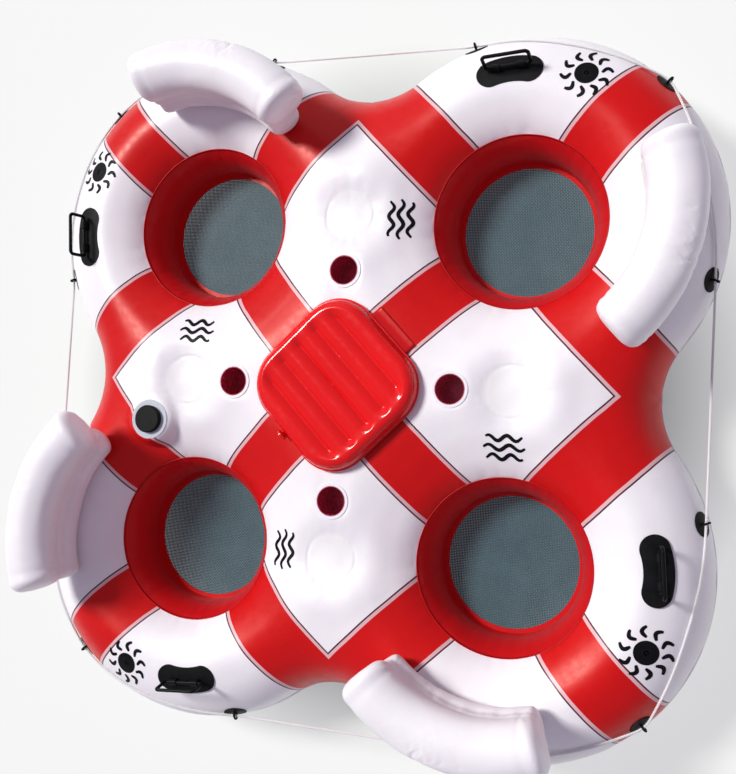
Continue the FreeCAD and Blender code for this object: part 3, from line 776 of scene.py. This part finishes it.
def crease_sheet(piece, sign):
    """Small wrinkles: at the seat seams, the welds, the outline, and slack between them."""
    co = vertex_values(piece, "co")
    normals = vertex_values(piece, "normal")
    if (normals[:, 2].mean() > 0) != (sign > 0):
        normals = -normals
    x, y, z = co.T
    px, py = np.abs(x), np.abs(y)
    seam = np.hypot(px - A, py - A) - SEAM
    outline = np.abs(z - MID)
    fx, fy = fold(x, y)
    weld_far = np.hypot(fx - DIMPLE.x, fy)
    push = np.zeros(len(co))
    for i in range(len(co)):
        place = Vector(co[i])
        amount = 0.0016 * noise.noise(place * 4.2) + 0.0007 * noise.noise(place * 11)
        if seam[i] < 0.09:
            turn = math.atan2(py[i] - A, px[i] - A)
            spot = Vector((math.cos(turn) * 9, math.sin(turn) * 9, x[i] * 1.5 + y[i]))
            amount += 0.0032 * noise.noise(spot) * math.exp(-seam[i] / 0.030)
        if outline[i] < 0.12:
            spot = Vector((x[i] * 17, y[i] * 17, 3.0 * sign))
            fade = math.exp(-((outline[i] / 0.045) ** 1.5))
            amount += 0.0045 * noise.noise(spot) * fade
        if weld_far[i] < 0.19:
            turn = math.atan2(fy[i], fx[i] - DIMPLE.x)
            spot = Vector((math.cos(turn) * 3.2, math.sin(turn) * 3.2, math.copysign(5, y[i]) + x[i]))
            amount += 0.0016 * noise.noise(spot) * math.exp(-((weld_far[i] - 0.105) / 0.03) ** 2)
        push[i] = amount
    for i in range(len(co)):
        local = quarter_turn(co[i], -int(LOBE_ORDER[(x[i] < 0) + 2 * (y[i] < 0)]))
        turn = math.degrees(math.atan2(local[1] - A, local[0] - A))
        push[i] *= calm(turn, math.hypot(local[0] - A, local[1] - A), sign)
    push *= 1 - flat_share(x, y)
    at_edge = np.minimum(np.maximum(seam, 0) / 0.006, np.maximum(outline, 0) / 0.004)
    push *= np.clip(at_edge, 0.0, 1)
    moved = co + normals * push[:, None]
    moved[:, 2] = np.maximum(moved[:, 2], 0.0)
    set_coordinates(piece, moved)


def add_hull(printed, plain):
    top = sheet_piece("top_sheet", top_height, printed)
    crease_sheet(top, 1)
    for quarter in range(4):
        cut_hole(top, quarter_turn(CUP, quarter), CUP_HOLE)
    cut_hole(top, VALVE, VALVE_HOLE)
    nodes = [f"lobe_tube_{lobe}" for lobe in LOBES] + [f"quadrant_{q}" for q in QUADRANTS]
    finish_piece(top, ROOT, "white_vinyl", *nodes, *[f"dimple_tie_{q}" for q in QUADRANTS])
    low = sheet_piece("bottom_sheet", low_height, plain)
    crease_sheet(low, -1)
    finish_piece(low, ROOT, "white_vinyl")
    return top


def add_seam_band(material):
    """The welded edge where the two sheets meet, all round."""
    half = 0.007
    points = []
    for quarter in range(4):
        for turn in cell_turns():
            if NECK - 0.01 <= turn <= 90 - NECK + 0.01:
                t = math.radians(turn)
                r = cell_reach(turn)
                points.append(quarter_turn([A + r * math.cos(t), A + r * math.sin(t)], quarter))
    vertices = []
    count = len(points)
    for i, p in enumerate(points):
        ahead = np.array(points[(i + 1) % count]) - np.array(points[i - 1])
        ahead = ahead / max(np.linalg.norm(ahead), 1e-9)
        out = np.array([ahead[1], -ahead[0]])
        wave = 0.0012 * noise.noise(Vector((p[0] * 14, p[1] * 14, 7)))
        for lift, up in ((-0.002, -half), (0.0016, -half + 0.001), (0.0024, 0), (0.0016, half - 0.001),
                         (-0.002, half)):
            vertices.append((p[0] + out[0] * lift, p[1] + out[1] * lift, MID + up + wave))
    faces = grid_faces(count, 5, wrap_rows=True)
    band = new_object("hull_seam", vertices, faces, material)
    weld(band, 0.0001)
    return finish_piece(band, ROOT, "white_vinyl", "outline_seam")


WALL_ROWS = 44
WALL_STEPS = 288
WELD_PINCH = 0.0062       # how far the net's welded ring draws the wall in



def add_seat_walls(material):
    """The round wall of each seat, with its top seam's lip and small upright puckers."""
    limit = math.degrees(math.acos((RING - SEAM) / TUBE))
    top_z = MID + TUBE * math.sin(math.radians(limit))
    ring_low, ring_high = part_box("mesh_weld_rings")
    ring_level = (ring_low.z + ring_high.z) / 2
    lip = [(0.0016, -0.003), (0.0016, 0.0028), (0.0004, 0.0036), (-0.0010, 0.0028), (-0.0012, -0.001)]
    vertices = []
    for dr, dz in lip:
        for t in circle(WALL_STEPS):
            vertices.append(((SEAM + dr) * math.cos(t), (SEAM + dr) * math.sin(t), top_z + dz))
    for row in range(WALL_ROWS):
        climb = math.radians(limit - 2 * limit * row / (WALL_ROWS - 1))
        for t in circle(WALL_STEPS):
            spot = Vector((math.cos(t) * 7, math.sin(t) * 7, 0.6 * math.sin(climb)))
            near = math.exp(-(limit - abs(math.degrees(climb))) / 16)
            push = 0.0035 * noise.noise(spot) * (0.25 + near)
            push += 0.0020 * noise.noise(spot * 2.6) * near
            push *= min(1, (limit - abs(math.degrees(climb))) / 4)
            over_ring = MID + TUBE * math.sin(climb) - ring_level
            push += WELD_PINCH * math.exp(-(over_ring / 0.014) ** 2)
            r = RING - TUBE * math.cos(climb) - push
            vertices.append((r * math.cos(t), r * math.sin(t), MID + TUBE * math.sin(climb)))
    faces = grid_faces(len(lip) + WALL_ROWS, WALL_STEPS, wrap_columns=True)
    first = new_object("seat_side_ne", vertices, faces, material)
    first.data.transform(Matrix.Translation((A, A, 0)))
    for piece, lobe in for_each_lobe(first, "seat_side"):
        finish_piece(piece, ROOT, "red_vinyl", f"seat_wall_{lobe}")


# ---------- seats

NET_PITCH = 0.0056
NET_STRAND = 0.0034


def add_nets(material):
    """A stretched net across each seat: two sets of flat strands passing over and under."""
    low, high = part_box("seat_mesh_ne")
    radius = (high.x - low.x) / 2
    level = high.z + 0.0006
    count = int(radius / NET_PITCH)
    vertices, faces = [], []
    for way in (0, 1):
        for number in range(-count, count + 1):
            offset = number * NET_PITCH
            half = math.sqrt(max(radius ** 2 - offset ** 2, 0))
            if half < NET_PITCH:
                continue
            steps = max(4, int(2 * half / (NET_PITCH / 2)))
            start = len(vertices)
            for k in range(steps + 1):
                along = -half + 2 * half * k / steps
                over = math.cos(math.pi * (along / NET_PITCH + number + way)) * 0.0007
                sag = -0.010 * (1 - (along ** 2 + offset ** 2) / radius ** 2)
                for side in (-1, 1):
                    across = offset + side * NET_STRAND / 2
                    place = (along, across) if way == 0 else (across, along)
                    vertices.append((A + place[0], A + place[1], level + over + sag))
            faces += grid_faces(steps + 1, 2, start=start)
    first = new_object("seat_net_ne", vertices, faces, material)
    for net, lobe in for_each_lobe(first, "seat_net"):
        finish_piece(net, ROOT, "seat_mesh", f"seat_mesh_{lobe}")


# ---------- backrests

REST_TURN = -13.0         # middle of the NE backrest, from X about the lobe's centre
REST_SWEEP = 29.0
REST_TIP = 0.74           # how far a roll goes past the sweep, over its radius
END_SHARE = 0.52          # length of a roll's round end, over its radius
END_BLUNT = 0.66
END_RINGS = 10
ROLL_STEPS = 48
ROLL_SIDES = 36
REST_GROOVE = 0.543       # height of the weld between its two rolls
ROLL_LOW = (0.470, 0.495, 0.0585)       # out from the lobe's centre, up, radius
ROLL_WEB = (0.486, 0.547, 0.0600)       # fills the hollow between the two rolls
ROLL_HIGH = (0.511, 0.609, 0.0865)
REST_VOXEL = 0.0055
AIR_PRESSURE = 4
AIR_FRAMES = 20
AIR_MOST = 0.004          # the cloth moves no further than this


def bent_roll(name, out, up, radius):
    """A roll bent round the lobe's centre, with blunt round ends."""
    cap = END_SHARE * radius / out
    sweep = math.radians(REST_SWEEP) + REST_TIP * radius / out - cap
    middle = math.radians(REST_TURN)
    rings = []
    for k in range(END_RINGS):
        a = math.pi / 2 * k / (END_RINGS - 1)
        rings.append((-sweep - cap * math.cos(a) ** END_BLUNT, radius * math.sin(a) ** END_BLUNT))
    rings += [(-sweep + 2 * sweep * k / ROLL_STEPS, radius) for k in range(1, ROLL_STEPS)]
    rings += [(-turn, r) for turn, r in rings[END_RINGS - 1::-1]]
    vertices = []
    for turn, r in rings:
        t = middle + turn
        for b in circle(ROLL_SIDES):
            far = out + r * math.cos(b)
            vertices.append((A + far * math.cos(t), A + far * math.sin(t), up + r * math.sin(b)))
    piece = new_object(name, vertices, grid_faces(len(rings), ROLL_SIDES, wrap_columns=True))
    weld(piece)
    return piece


def apply_modifiers(piece):
    bpy.context.view_layer.update()
    graph = bpy.context.evaluated_depsgraph_get()
    mesh = bpy.data.meshes.new_from_object(piece.evaluated_get(graph))
    piece.modifiers.clear()
    old = piece.data
    piece.data = mesh
    bpy.data.meshes.remove(old)


def inflate(piece):
    """Cloth under air pressure, its movement held to a few millimetres, then made permanent."""
    remesh = piece.modifiers.new("remesh", "REMESH")
    remesh.mode = "VOXEL"
    remesh.voxel_size = REST_VOXEL
    smoother = piece.modifiers.new("smooth", "SMOOTH")
    smoother.iterations = 6
    apply_modifiers(piece)
    rest = vertex_values(piece, "co")
    cloth = piece.modifiers.new("air", "CLOTH")
    settings = cloth.settings
    settings.use_pressure = True
    settings.uniform_pressure_force = AIR_PRESSURE
    settings.effector_weights.gravity = 0
    settings.quality = 5
    settings.tension_stiffness = 30
    settings.bending_stiffness = 0.4
    cloth.point_cache.frame_start = 1
    cloth.point_cache.frame_end = AIR_FRAMES
    scene = bpy.context.scene
    for number in range(1, AIR_FRAMES + 1):
        scene.frame_set(number)
    apply_modifiers(piece)
    scene.frame_set(1)
    moved = vertex_values(piece, "co") - rest
    far = np.linalg.norm(moved, axis=1)
    share = np.where(far > 1e-9, AIR_MOST * np.tanh(far / AIR_MOST) / np.maximum(far, 1e-9), 0)
    set_coordinates(piece, rest + moved * share[:, None])


def add_backrests(material):
    """A low and a high roll welded together behind each seat, wrinkled along the weld."""
    rolls = [bent_roll("roll", *sizes) for sizes in (ROLL_LOW, ROLL_WEB, ROLL_HIGH)]
    first = join(rolls, "backrest_cushion_ne")
    inflate(first)
    co = vertex_values(first, "co")
    normals = vertex_values(first, "normal")
    groove = np.abs(co[:, 2] - REST_GROOVE)
    push = np.zeros(len(co))
    for i, p in enumerate(co):
        turn = math.atan2(p[1] - A, p[0] - A)
        near = math.exp(-(groove[i] / 0.028) ** 2)
        spot = Vector((turn * 16, p[2] * 5, 2.0))
        push[i] = 0.0055 * noise.noise(spot) * near + 0.0018 * noise.noise(Vector(p) * 9)
        ends = abs(math.degrees(turn) - REST_TURN) - REST_SWEEP
        if ends > -4:
            fan = math.atan2(p[2] - 0.56, ends * 0.009)
            push[i] += 0.0022 * noise.noise(Vector((fan * 3.5, 5, 1))) * min(1, (ends + 4) / 6)
    set_coordinates(first, co + normals * push[:, None])
    finer = first.modifiers.new("finer", "SUBSURF")
    finer.levels = 1
    finer.render_levels = 1
    apply_modifiers(first)
    first.data.materials.clear()
    first.data.materials.append(material)
    first.data.polygons.foreach_set("use_smooth", [True] * len(first.data.polygons))
    for piece, lobe in for_each_lobe(first, "backrest_cushion"):
        finish_piece(piece, f"backrest_{lobe}", "white_vinyl", f"backrest_{lobe}")


# ---------- cooler lid

LID_HALF = 0.246
LID_CORNER = 0.140
LID_LOW = 0.4745
LID_RISE = 0.054
LID_SEAM = 0.012
LID_RIBS = 6
LID_GROOVE = 0.42
LID_WELD = 0.006          # width of the flat welded edge
LID_ROUND = 0.034         # the puffed part rises over this distance


def rounded_square_reach(turn, half, corner):
    """From the middle of a rounded square to its edge, by direction in radians."""
    c, s = abs(math.cos(turn)), abs(math.sin(turn))
    inner = half - corner
    if min(c, s) / max(c, s) <= inner / half:
        return half / max(c, s)
    ahead = (c + s) * inner
    return ahead + math.sqrt(max(ahead ** 2 - 2 * inner ** 2 + corner ** 2, 0))


def lid_inset(x, y):
    """Distance in from the lid's edge."""
    px, py = abs(x) - (LID_HALF - LID_CORNER), abs(y) - (LID_HALF - LID_CORNER)
    if px > 0 and py > 0:
        return LID_CORNER - math.hypot(px, py)
    return min(LID_HALF - abs(x), LID_HALF - abs(y))


def lid_groove(x, y):
    """How strongly the sheets are welded together: 1 on a rib line, 0 away from it."""
    pitch = 2 * (LID_HALF - 0.012) / LID_RIBS
    away = abs(y / pitch - round(y / pitch)) * pitch
    room = lid_inset(x, y)
    end = min(1, max(0, (room - 0.040) / 0.030))
    return math.exp(-(away / 0.015) ** 1.15) * end


def add_lid(material):
    """The inflated lid: ribs across it, a flat welded edge round it."""
    rows, columns = 60, 240
    vertices = []
    for side in (1, -1):
        for row in range(rows):
            u = math.sin(math.pi / 2 * row / (rows - 1))
            for t in circle(columns):
                r = rounded_square_reach(t, LID_HALF, LID_CORNER) * u
                x, y = r * math.cos(t), r * math.sin(t)
                room = max(lid_inset(x, y) - LID_WELD, 0)
                near = min(room, LID_ROUND)
                puff = math.sqrt(near * (2 * LID_ROUND - near)) / LID_ROUND
                if side < 0:
                    z = LID_SEAM - 0.0008 - (LID_SEAM - 0.001) * min(1, puff * 1.1)
                else:
                    pulled = LID_GROOVE * lid_groove(x, y)
                    z = LID_SEAM + 0.0008 + (LID_RISE - LID_SEAM) * puff * (1 - pulled)
                    spot = Vector((x * 10, y * 10, 1.5))
                    z += 0.0004 * noise.noise(spot) * min(1, room / 0.02)
                    pucker = noise.noise(Vector((math.cos(t) * 9, math.sin(t) * 9, 4)))
                    z += 0.0009 * pucker * math.exp(-room / 0.018) * min(1, room / 0.004)
                vertices.append((x, y, z))
    faces = grid_faces(rows, columns, wrap_columns=True)
    under = grid_faces(rows, columns, wrap_columns=True, start=rows * columns)
    faces += [tuple(reversed(face)) for face in under]
    outer = (rows - 1) * columns
    for k in range(columns):
        a, b = outer + k, outer + (k + 1) % columns
        faces.append((b, a, a + rows * columns, b + rows * columns))
    lid = new_object("cooler_lid_cushion", vertices, faces, material)
    weld(lid, 0.0002)
    lid.data.transform(Matrix.Translation((0, 0, LID_LOW)) @ EIGHTH_TURN)
    finish_piece(lid, "lid", "lid_vinyl", "cooler_lid")


STRAP_WIDTH = 0.180
STRAP_START = 0.286       # out from the middle, on the deck
STRAP_END = 0.215         # under the lid
STRAP_RISE = 0.0095
STRAP_THICK = 0.0012
STRAP_ROWS = 25
STRAP_COLUMNS = 17


def add_strap(material):
    """The strip that hinges the lid, from the deck to under its edge."""
    vertices = []
    for v in np.linspace(STRAP_START, STRAP_END, STRAP_ROWS):
        rise = STRAP_RISE * smooth(STRAP_START - v, 0.012, 0.050)
        z = DECK + STRAP_THICK + rise - 0.004 * smooth(0.235 - v, 0, 0.01)
        vertices += [(STRAP_WIDTH / 2 * side, v, z) for side in np.linspace(-1, 1, STRAP_COLUMNS)]
    faces = grid_faces(STRAP_ROWS, STRAP_COLUMNS)
    strap = new_object("lid_hinge_band", vertices, faces, material)
    strap.data.transform(EIGHTH_TURN)
    thick = strap.modifiers.new("thick", "SOLIDIFY")
    thick.thickness = STRAP_THICK
    apply_modifiers(strap)
    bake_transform(strap)
    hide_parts("lid_hinge_strap")


# ---------- marks

def drop_on(piece, points):
    """Points in plan set down on a piece from above, a little clear of it."""
    out = []
    for x, y in points:
        hit, place, normal, _ = piece.ray_cast(Vector((x, y, 2)), Vector((0, 0, -1)))
        out.append(place + normal * MARK_LIFT if hit else Vector((x, y, float(top_height(x, y)))))
    return out


def ribbon_mark(piece, lines, width):
    """Flat strokes along lines in plan, laid on a piece and narrowing towards their ends."""
    vertices, faces = [], []
    for line in lines:
        count = len(line)
        start = len(vertices)
        flat = []
        for i, p in enumerate(line):
            way = Vector(line[min(i + 1, count - 1)]) - Vector(line[max(i - 1, 0)])
            way.normalize()
            along = 0.06 + 0.88 * i / (count - 1)
            half = width / 2 * math.sin(math.pi * along) ** 0.35
            for side in (-1, -0.33, 0.33, 1):
                flat.append((p[0] - way.y * half * side, p[1] + way.x * half * side))
        vertices += drop_on(piece, flat)
        faces += grid_faces(count, 4, start=start)
    return vertices, faces


WAVE_PLACE = (0.566, -0.178)      # the waves on the east quadrant, beside its weld
SUN_TURN = 66.0
SUN_OUT = 0.505
SUN_RAYS = 10
SUN_RADIUS = 0.038
MARK_LIFT = 0.0009        # the ink stands this far off the sheet


def wave_lines():
    lines = []
    for row in (-1, 0, 1):
        line = []
        for k in range(61):
            u = k / 60
            along = (u - 0.5) * 0.135 * (1 - 0.12 * abs(row))
            across = row * 0.030 + 0.0085 * math.sin(2 * math.pi * 2 * u + 0.6 * row)
            line.append((WAVE_PLACE[0] + along, WAVE_PLACE[1] + across))
        lines.append(line)
    return lines


def add_marks(top, material):
    """Plain emblems: three waves on each quadrant and a sun on each lobe."""
    for quarter in range(4):
        vertices, faces = [], []
        waves = [quarter_turn(line, quarter) for line in wave_lines()]
        rays = [quarter_turn(line, quarter) for line in sun_lines()]
        parts = [ribbon_mark(top, waves, 0.0125), ribbon_mark(top, rays, 0.013), sun_disc(top, quarter)]
        for more, more_faces in parts:
            faces += [tuple(len(vertices) + i for i in face) for face in more_faces]
            vertices += more
        finish_piece(new_object(f"emblems_{quarter}", vertices, faces, material), ROOT, "black_rubber")


def sun_middle():
    t = math.radians(SUN_TURN)
    return A + SUN_OUT * math.cos(t), A + SUN_OUT * math.sin(t)


def sun_lines():
    cx, cy = sun_middle()
    lines = []
    for t in circle(SUN_RAYS):
        line = []
        for step in range(13):
            r = 0.048 + 0.034 * step / 12
            bend = t + 0.22 * math.sin(math.pi * step / 12)
            line.append((cx + r * math.cos(bend), cy + r * math.sin(bend)))
        lines.append(line)
    return lines


def sun_disc(top, quarter):
    cx, cy = sun_middle()
    flat = [(cx, cy)]
    rings, steps = 5, 40
    for ring in range(1, rings + 1):
        for t in circle(steps):
            r = SUN_RADIUS * ring / rings
            flat.append((cx + r * math.cos(t), cy + r * math.sin(t)))
    faces = [(0, 1 + k, 1 + (k + 1) % steps) for k in range(steps)]
    faces += grid_faces(rings, steps, wrap_columns=True, start=1)
    return drop_on(top, quarter_turn(flat, quarter)), faces


# ---------- CAD nodes that stay in view

def paint(nodes, material):
    for name in nodes:
        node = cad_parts[name]
        node.data.materials.clear()
        node.data.materials.append(material)


def named(*starts):
    return [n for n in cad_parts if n.startswith(starts)]


# ---------- lights and floor

FLOOR_HALF = 14
GLOW_OUT = (0.95, 1.35)   # the floor's glow grows between these distances from the middle
GLOW = (0.14, 0.57)


def add_stage():
    """A pale floor that glows softly, less of it near the float."""
    corners = [(-FLOOR_HALF, -FLOOR_HALF, 0), (FLOOR_HALF, -FLOOR_HALF, 0),
               (FLOOR_HALF, FLOOR_HALF, 0), (-FLOOR_HALF, FLOOR_HALF, 0)]
    floor = new_object("floor", corners, [(0, 1, 2, 3)])
    shader = Shader("floor_paint")
    cloud = shader.noise(0.7, 3.0)
    shader.set(Base_Color=shader.mix(cloud, rgb(0.29, 0.31, 0.29), rgb(0.30, 0.32, 0.30)))
    shader.set(Roughness=0.9)
    x, y, _ = shader.split()
    far = shader.maths("SQRT", shader.maths("MULTIPLY_ADD", x, x, shader.maths("MULTIPLY", y, y)))
    shader.set(Emission_Color=rgb(1.0, 1.0, 1.0))
    shader.set(Emission_Strength=shader.spread(far, *GLOW_OUT, *GLOW))
    floor.data.materials.append(shader.material)


def add_light(name, kind, place, target, energy, colour, size):
    data = bpy.data.lights.new(name, kind)
    data.energy = energy
    data.color = colour
    if kind == "AREA":
        data.shape = "DISK"
        data.size = size
    else:
        data.angle = size
    light = scene_object(name, data)
    light.location = place
    light.rotation_mode = "QUATERNION"
    light.rotation_quaternion = (Vector(target) - Vector(place)).to_track_quat("-Z", "Y")


def add_lights():
    world = bpy.data.worlds.new("sky")
    bpy.context.scene.world = world
    world.use_nodes = True
    background = world.node_tree.nodes["Background"]
    background.inputs[0].default_value = (0.87, 0.76, 1.0, 1)
    background.inputs[1].default_value = 0.34
    soft = math.radians(14)
    add_light("sun", "SUN", (-4.2, 2.2, 6.0), (0, 0, 0.2), 3.25, (1.0, 0.985, 0.95), soft)
    add_light("side", "AREA", (-1.5, 4.5, 3.0), (0, 0, 0.3), 12, (1.0, 0.98, 0.96), 4.0)


# ---------- everything

add_camera()
add_rope(rope_material("rope_fibre"))
white = plain_vinyl("white_vinyl_plain", WHITE, 0.42, soft=0.08)
red = plain_vinyl("red_vinyl_plain", DEEP_RED, 0.34, coat=0.02, sheen=RED_SHEEN)
lid_red = plain_vinyl("lid_vinyl_red", LID_RED, 0.17, coat=0.25, sheen=LID_SHEEN)
black = moulded("black_moulded", rgb(0.004, 0.004, 0.0045), 0.36)
rubber = moulded("black_soft", rgb(0.005, 0.005, 0.0055), 0.50)
top_sheet = add_hull(printed_vinyl("white_vinyl_printed"), white)
add_seam_band(white)
add_seat_walls(red)
add_nets(net_material("net_strands"))
add_backrests(white)
add_lid(lid_red)
add_strap(red)
add_marks(top_sheet, moulded("black_print", rgb(0.004, 0.004, 0.005), 0.45))
paint(named("cup_holder"), cup_material("cup_maroon"))
paint(named("cooler_well", "mesh_weld_rings"), red)
paint(named("lid_valve"), lid_red)
paint(named("backrest_valve"), clear_film("clear_valve"))
paint(named("backrest_flaps"), white)
paint(named("valve_flange"), clear_film("clear_flange"))
paint(named("valve_body", "valve_plug", "valve_cap", "handle_grip"), black)
paint(named("handle_pad", "rope_eyelets"), rubber)
add_lights()
add_stage()
bpy.context.scene.view_settings.view_transform = "Standard"
